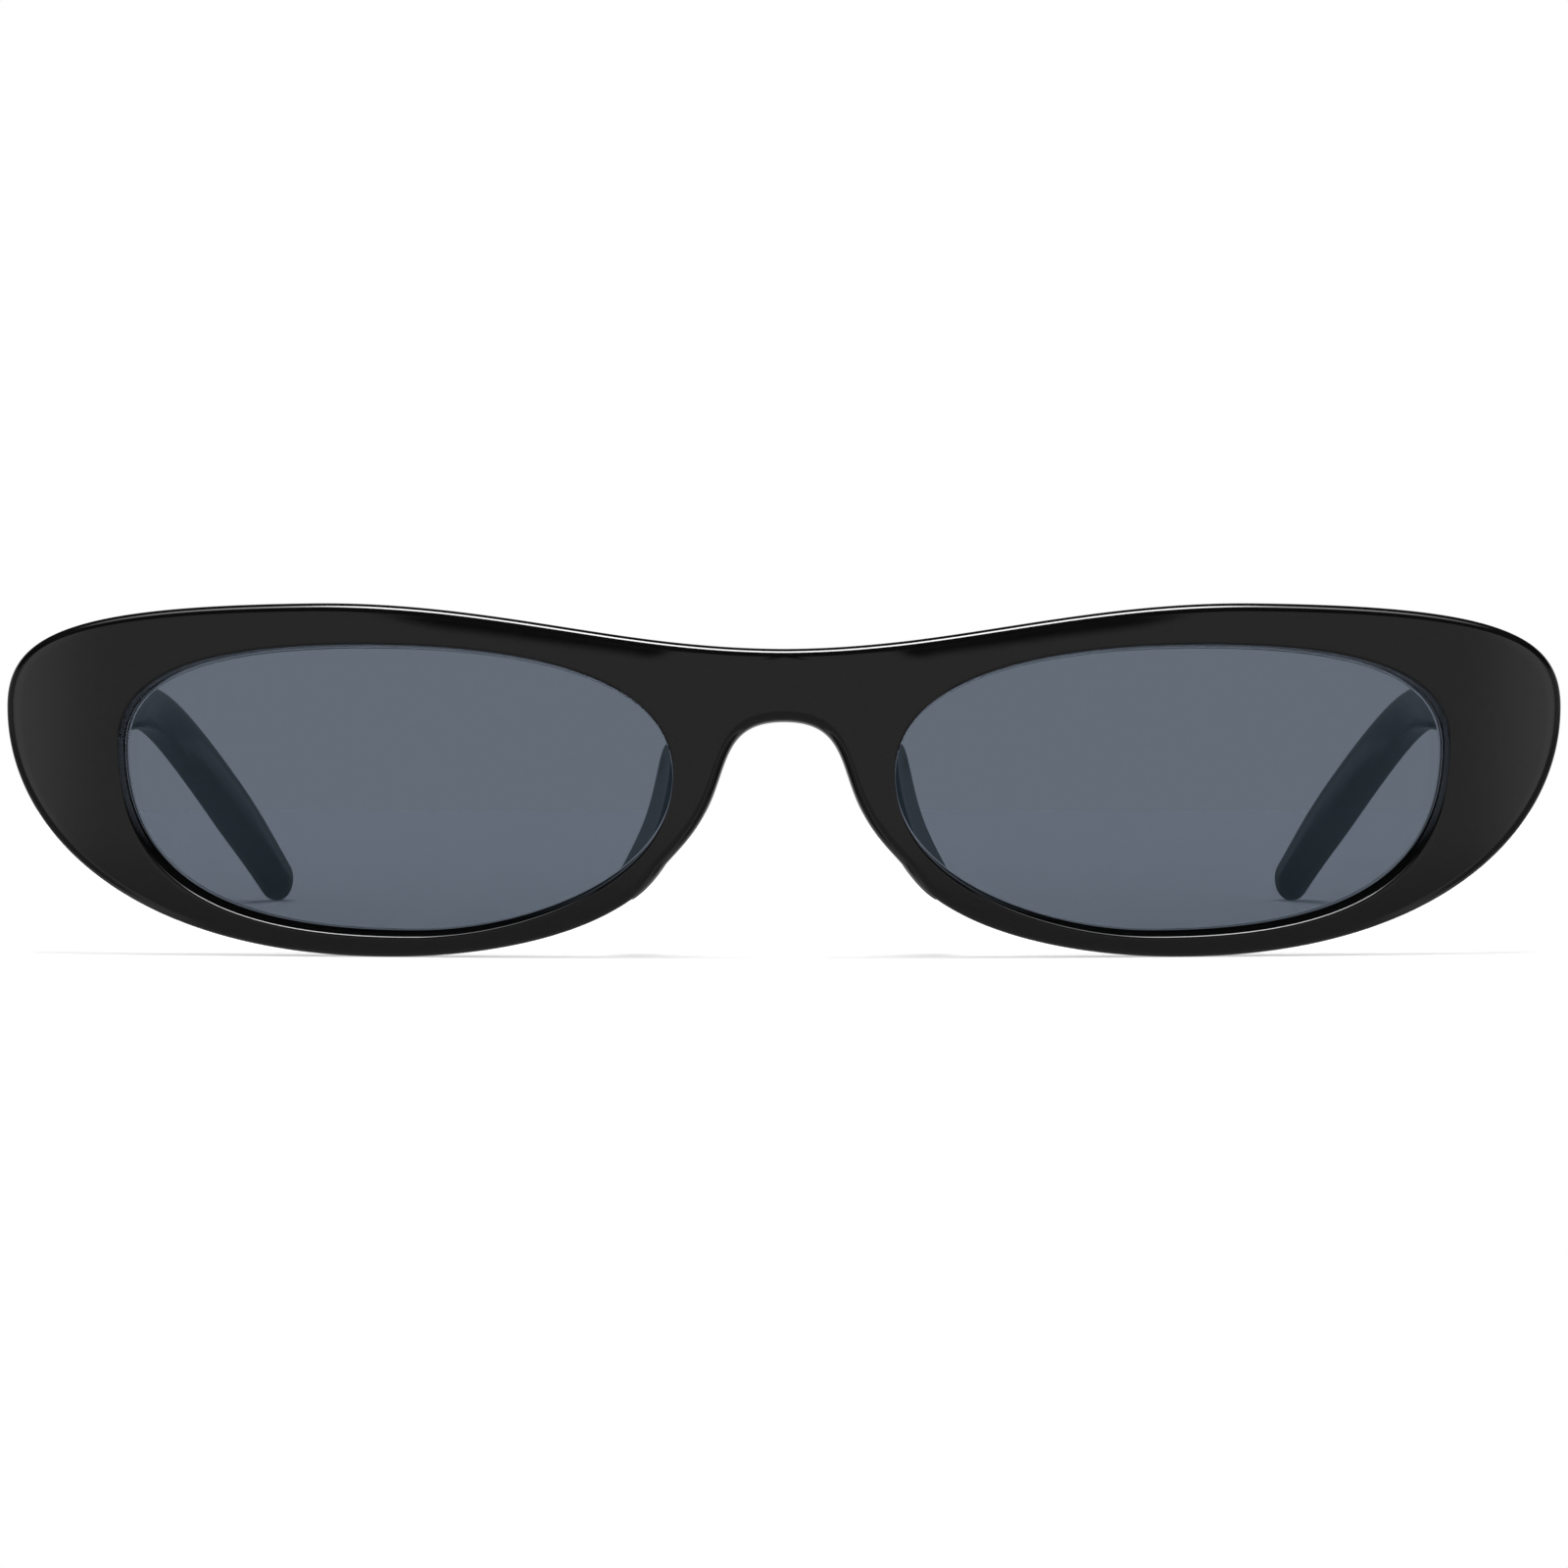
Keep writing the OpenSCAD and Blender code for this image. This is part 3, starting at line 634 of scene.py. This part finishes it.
def temple_skin(tip_z):
    """Rings of the temple from the hinge to the tip: a straight run, a cubic
    down to the ear end at the height tip_z, and a rounded end. A ring is a
    rectangle with well rounded corners, cosine and sine raised to a power of
    0.62. Over the last part of the ear end the power grows to 0.95, nearly an
    ellipse, and the upper edge drops with the square of the way. The first
    rings lie in the mitre behind the front, with a rounded edge."""
    # Straight run
    k = np.linspace(0, 1, straight_n + 1)[:-1]
    neck = eased(k / neck_share)
    centre = temple_root + (bend_point - temple_root) * k[:, None]
    along = np.tile(temple_run, (straight_n, 1))
    thick = temple_t + (bend_t - temple_t) * k
    high = temple_h + (bend_h - temple_h) * neck

    # Ear end
    tip = np.array([bend_point[0] - ear_in, bend_point[1] + ear_l, tip_z])
    reach = np.linalg.norm(tip - bend_point)
    q1 = bend_point + temple_run * bend_pull * reach
    q2 = tip - tip_slope / np.linalg.norm(tip_slope) * tip_pull * reach
    t = np.linspace(0, 1, ear_n + 1)
    ear, way = cubic(bend_point, q1, q2, tip, t)
    ear_thick = bend_t + (tip_t - bend_t) * eased(t)
    ear_drop = tip_drop * np.clip(1 - reach * (1 - t) / tip_drop_run, 0, 1) ** 2
    ear_high = bend_h + (tip_h - bend_h) * eased(t) - ear_drop
    filed = eased((t - (1 - filed_run)) / filed_run)

    # Rounded end, a quarter ellipse in both directions, open by one degree
    a = np.radians(np.linspace(0, 89, end_n + 1)[1:])
    end = ear[-1] + way[-1] * tip_round / 2 * np.sin(a)[:, None]
    centre = np.concatenate([centre, ear, end])
    along = np.concatenate([along, way, np.tile(way[-1], (end_n, 1))])
    thick = np.concatenate([thick, ear_thick, tip_t * np.cos(a)])
    high = np.concatenate([high, ear_high, (tip_h - tip_drop) * np.cos(a)])

    # Edge of the butt face: the first ring becomes butt_n rings
    butt = np.radians(np.linspace(0, 90, butt_n))
    centre = np.concatenate([np.tile(centre[:1], (butt_n, 1)), centre[1:]])
    along = np.concatenate([np.tile(along[:1], (butt_n, 1)), along[1:]])
    inset = 2 * butt_round * (1 - np.sin(butt))
    thick = np.concatenate([thick[0] - inset, thick[1:]])
    high = np.concatenate([high[0] - inset, high[1:]])
    before = np.zeros(straight_n - 1 + butt_n)
    drop = np.concatenate([before, ear_drop, np.full(end_n, tip_drop)])
    filed = np.concatenate([before, filed, np.ones(end_n)])
    power = (squareness + (filed_squareness - squareness) * filed)[:, None]

    # Points of the rings
    across = np.cross(along, [0.0, 0.0, 1.0])
    across /= np.linalg.norm(across, axis=1, keepdims=True)
    up = np.cross(across, along)
    angle = np.radians(360 * (np.arange(sides_n) + 0.5) / sides_n)
    wide = np.sign(np.cos(angle)) * abs(np.cos(angle)) ** power
    tall = np.sign(np.sin(angle)) * abs(np.sin(angle)) ** power
    skin = (
        centre[:, None]
        - (up * drop[:, None] / 2)[:, None]
        + across[:, None] * (wide * thick[:, None] / 2)[..., None]
        + up[:, None] * (tall * high[:, None] / 2)[..., None]
    )

    # Butt face, square to the back of the end piece
    square = leaned(np.array([-np.sin(end_turn), np.cos(end_turn), 0.0]))
    start = pin_stands - square * (pin_back - butt_gap)
    past = butt_round * (1 - np.cos(butt))
    away = (skin[:butt_n] - start) @ square / (temple_run @ square)
    skin[:butt_n] -= temple_run * (away - past[:, None])[..., None]
    return skin


# The tip's height puts the lowest point of the temple on the table. The plate
# reaches from the pin back along the temple.
tip_z = -temple_skin(0.0)[..., 2].min()
skin = temple_skin(tip_z)
plate_front, plate_back, plate_half_h = -1.0, 9.0, 2.5
pocket_low = (pin_back - pocket_mouth, plate_front - seat_gap, -plate_half_h - seat_gap)
pocket_high = (pin_back + leaf_t + seat_gap, plate_back + seat_gap, plate_half_h + seat_gap)
for side, name, body in ((1, "temple_left", "temple_l"), (-1, "temple_right", "temple_r")):
    points = skin.reshape(-1, 3) * np.array([side, 1, 1])
    temple = new_piece(name + "_acetate", points, *tube_faces(*skin.shape[:2], side))
    cut_pockets(temple, pocket_low, pocket_high, toe)
    temple.data.materials.clear()
    temple.data.materials.append(acetate)
    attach(temple, body)
    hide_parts(name)

# Drawn steel wire of the cores, out of sight inside the temples, with fine
# marks along the drawing direction.
wire = bpy.data.materials.new("steel_wire_drawn")
tree = empty_tree(wire)
place = add_node(tree, "ShaderNodeTexCoord", {})
stretch = add_node(
    tree, "ShaderNodeMapping", {"Vector": place.outputs["Object"], "Scale": (8.0, 1.0, 8.0)}
)
draw = add_node(
    tree, "ShaderNodeTexNoise", {"Vector": stretch.outputs[0], "Scale": 2000.0, "Detail": 2.0}
)
dull = add_node(
    tree,
    "ShaderNodeMapRange",
    {
        "Value": draw.outputs[0],
        "From Min": 0.3,
        "From Max": 0.7,
        "To Min": 0.28,
        "To Max": 0.42,
    },
)
metal = add_node(
    tree,
    "ShaderNodeBsdfPrincipled",
    {"Base Color": linear("#b9b9bb"), "Metallic": 1.0, "Roughness": dull.outputs[0]},
)
add_node(tree, "ShaderNodeOutputMaterial", {"Surface": metal.outputs[0]})
for name in ("temple_core_left", "temple_core_right"):
    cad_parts[name].data.materials.clear()
    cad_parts[name].data.materials.append(wire)


# TABLE. A white paper sheet, lit by the lamps so that it holds the shadow. Some
# of its white is its own light, stronger to the eye than through the lenses.
# The gloss sees the grey room in its place.
table_half, table_n = 400, 13
table_line = np.linspace(-table_half, table_half, table_n)
table_x, table_y = np.meshgrid(table_line, table_line, indexing="ij")
table_points = np.stack([table_x, table_y, np.zeros_like(table_x)], -1).reshape(-1, 3)
i, j = np.meshgrid(np.arange(table_n - 1), np.arange(table_n - 1), indexing="ij")
corner = i * table_n + j
table_faces = np.stack([corner, corner + table_n, corner + table_n + 1, corner + 1], -1)
table = new_piece("table", table_points, table_faces.reshape(-1, 4))
white = bpy.data.materials.new("white_paper")
tree = empty_tree(white)
place = add_node(tree, "ShaderNodeTexCoord", {})
spot = add_node(tree, "ShaderNodeSeparateXYZ", {"Vector": place.outputs["Object"]})
away = add_node(tree, "ShaderNodeMath", {0: spot.outputs["Y"]}, operation="ABSOLUTE")
far = add_node(
    tree,
    "ShaderNodeMapRange",
    {
        "Value": away.outputs[0],
        "From Min": 0.03,
        "From Max": 0.4,
        "To Min": 0.14,
        "To Max": 0.21,
    },
)
rays = add_node(tree, "ShaderNodeLightPath", {})
through = add_node(
    tree,
    "ShaderNodeMath",
    {0: rays.outputs["Is Transmission Ray"], 1: far.outputs[0]},
    operation="MULTIPLY",
)
own = add_node(
    tree, "ShaderNodeMath", {0: rays.outputs["Is Camera Ray"], 1: 0.47}, operation="MULTIPLY"
)
paper = add_node(tree, "ShaderNodeBsdfDiffuse", {"Color": linear("#f2f2f2"), "Roughness": 0.5})
behind = add_node(
    tree, "ShaderNodeEmission", {"Color": linear("#f0f2ff"), "Strength": through.outputs[0]}
)
open_view = add_node(
    tree, "ShaderNodeEmission", {"Color": linear("#ffffff"), "Strength": own.outputs[0]}
)
glow = add_node(tree, "ShaderNodeAddShader", {0: behind.outputs[0], 1: open_view.outputs[0]})
mixed = add_node(tree, "ShaderNodeAddShader", {0: paper.outputs[0], 1: glow.outputs[0]})
add_node(tree, "ShaderNodeOutputMaterial", {"Surface": mixed.outputs[0]})
table.data.materials.append(white)
table.visible_glossy = False


# LIGHT. One softbox overhead lights the table, a wider one shows in the gloss
# alone, and round them stands a grey room, darker above than at eye level.
def add_lamp(name, place, size, strength, **seen_by):
    """Flat lamp that faces down. The strength is its brightness, and its power
    follows from its area."""
    lamp = bpy.data.lights.new(name, "AREA")
    lamp.shape, lamp.size, lamp.size_y = "RECTANGLE", *size
    lamp.energy = strength * np.pi * size[0] * size[1]
    obj = bpy.data.objects.new(name, lamp)
    obj.location = place
    for kind, shown in seen_by.items():
        setattr(obj, kind, shown)
    bpy.context.scene.collection.objects.link(obj)
    return obj


add_lamp("softbox", (0, 0, 1.25), (0.6, 0.4), 10.0, visible_glossy=False)
gloss_box = add_lamp(
    "softbox_gloss",
    (0, -0.17, 1.2),
    (1.8, 0.42),
    24.0,
    visible_diffuse=False,
    visible_transmission=False,
)

# The wide one is bright in its middle 0.4 m and fades out to both sides
tree = empty_tree(gloss_box.data)
place = add_node(tree, "ShaderNodeNewGeometry", {})
spot = add_node(tree, "ShaderNodeSeparateXYZ", {"Vector": place.outputs["Parametric"]})
aside = add_node(tree, "ShaderNodeMath", {0: spot.outputs["X"], 1: 0.5}, operation="SUBTRACT")
aside = add_node(tree, "ShaderNodeMath", {0: aside.outputs[0]}, operation="ABSOLUTE")
middle = add_node(
    tree,
    "ShaderNodeMapRange",
    {"Value": aside.outputs[0], "From Min": 0.12, "From Max": 0.23, "To Min": 1.0, "To Max": 0.22},
    interpolation_type="SMOOTHSTEP",
)
fade = add_node(
    tree,
    "ShaderNodeMapRange",
    {
        "Value": aside.outputs[0],
        "From Min": 0.23,
        "From Max": 0.5,
        "To Min": 1.0,
        "To Max": 0.1,
    },
)
share = add_node(
    tree, "ShaderNodeMath", {0: middle.outputs[0], 1: fade.outputs[0]}, operation="MULTIPLY"
)
shine = add_node(tree, "ShaderNodeEmission", {"Strength": share.outputs[0]})
add_node(tree, "ShaderNodeOutputLight", {"Surface": shine.outputs[0]})

world = bpy.data.worlds.new("grey_room")
bpy.context.scene.world = world
tree = empty_tree(world)
place = add_node(tree, "ShaderNodeTexCoord", {})
way = add_node(tree, "ShaderNodeSeparateXYZ", {"Vector": place.outputs["Generated"]})
aloft = add_node(
    tree,
    "ShaderNodeMapRange",
    {"Value": way.outputs["Z"], "From Min": 0.3, "From Max": 0.41, "To Min": 0.45, "To Max": 0.02},
    interpolation_type="SMOOTHSTEP",
)
below = add_node(
    tree,
    "ShaderNodeMapRange",
    {"Value": way.outputs["Z"], "From Min": -0.06, "From Max": 0.03, "To Min": 0.62, "To Max": 1.0},
    interpolation_type="SMOOTHSTEP",
)

# A lighter panel stands at each side, and past it the room is dark
aside = add_node(tree, "ShaderNodeMath", {0: way.outputs["X"]}, operation="ABSOLUTE")
panel = add_node(
    tree,
    "ShaderNodeMapRange",
    {"Value": aside.outputs[0], "From Min": 0.56, "From Max": 0.66, "To Min": 1.0, "To Max": 2.2},
    interpolation_type="SMOOTHSTEP",
)
past = add_node(
    tree,
    "ShaderNodeMapRange",
    {"Value": aside.outputs[0], "From Min": 0.66, "From Max": 0.76, "To Min": 1.0, "To Max": 0.3},
    interpolation_type="SMOOTHSTEP",
)
room = aloft
for share in (below, panel, past):
    room = add_node(
        tree, "ShaderNodeMath", {0: room.outputs[0], 1: share.outputs[0]}, operation="MULTIPLY"
    )

# The eye sees white everywhere, and the lenses show a white backdrop all round
# that fades out above them. To the table the room is an even mix of white and
# its own grey.
rays = add_node(tree, "ShaderNodeLightPath", {})
backdrop = add_node(
    tree,
    "ShaderNodeMapRange",
    {"Value": way.outputs["Z"], "From Min": 0.15, "From Max": 0.35, "To Min": 1.0, "To Max": 0.0},
    interpolation_type="SMOOTHSTEP",
)
seen = add_node(
    tree,
    "ShaderNodeMath",
    {0: rays.outputs["Is Transmission Ray"], 1: backdrop.outputs[0]},
    operation="MULTIPLY",
)
seen = add_node(
    tree,
    "ShaderNodeMath",
    {0: rays.outputs["Is Diffuse Ray"], 1: 0.5, 2: seen.outputs[0]},
    operation="MULTIPLY_ADD",
)
seen = add_node(
    tree,
    "ShaderNodeMath",
    {0: seen.outputs[0], 1: rays.outputs["Is Camera Ray"]},
    operation="ADD",
    use_clamp=True,
)
dim = add_node(
    tree, "ShaderNodeBackground", {"Color": linear("#ffffff"), "Strength": room.outputs[0]}
)
bright = add_node(tree, "ShaderNodeBackground", {"Color": linear("#ffffff"), "Strength": 1.0})
sky = add_node(
    tree, "ShaderNodeMixShader", {0: seen.outputs[0], 1: dim.outputs[0], 2: bright.outputs[0]}
)
add_node(tree, "ShaderNodeOutputWorld", {"Surface": sky.outputs[0]})


# CAMERA. A long lens straight in front of the glasses, a little above them and
# tilted down by the angle that puts the middle of the picture on them.
tilt = np.radians(1.501)
eye = bpy.data.cameras.new("photo_camera")
eye.sensor_width = 36.0
eye.lens = 195.4
camera = bpy.data.objects.new("photo_camera", eye)
camera.location = (0, -0.8538, 0.0367)
camera.rotation_euler = (np.pi / 2 - tilt, 0, 0)
bpy.context.scene.collection.objects.link(camera)
bpy.context.scene.camera = camera
bpy.context.scene.view_settings.view_transform = "Standard"
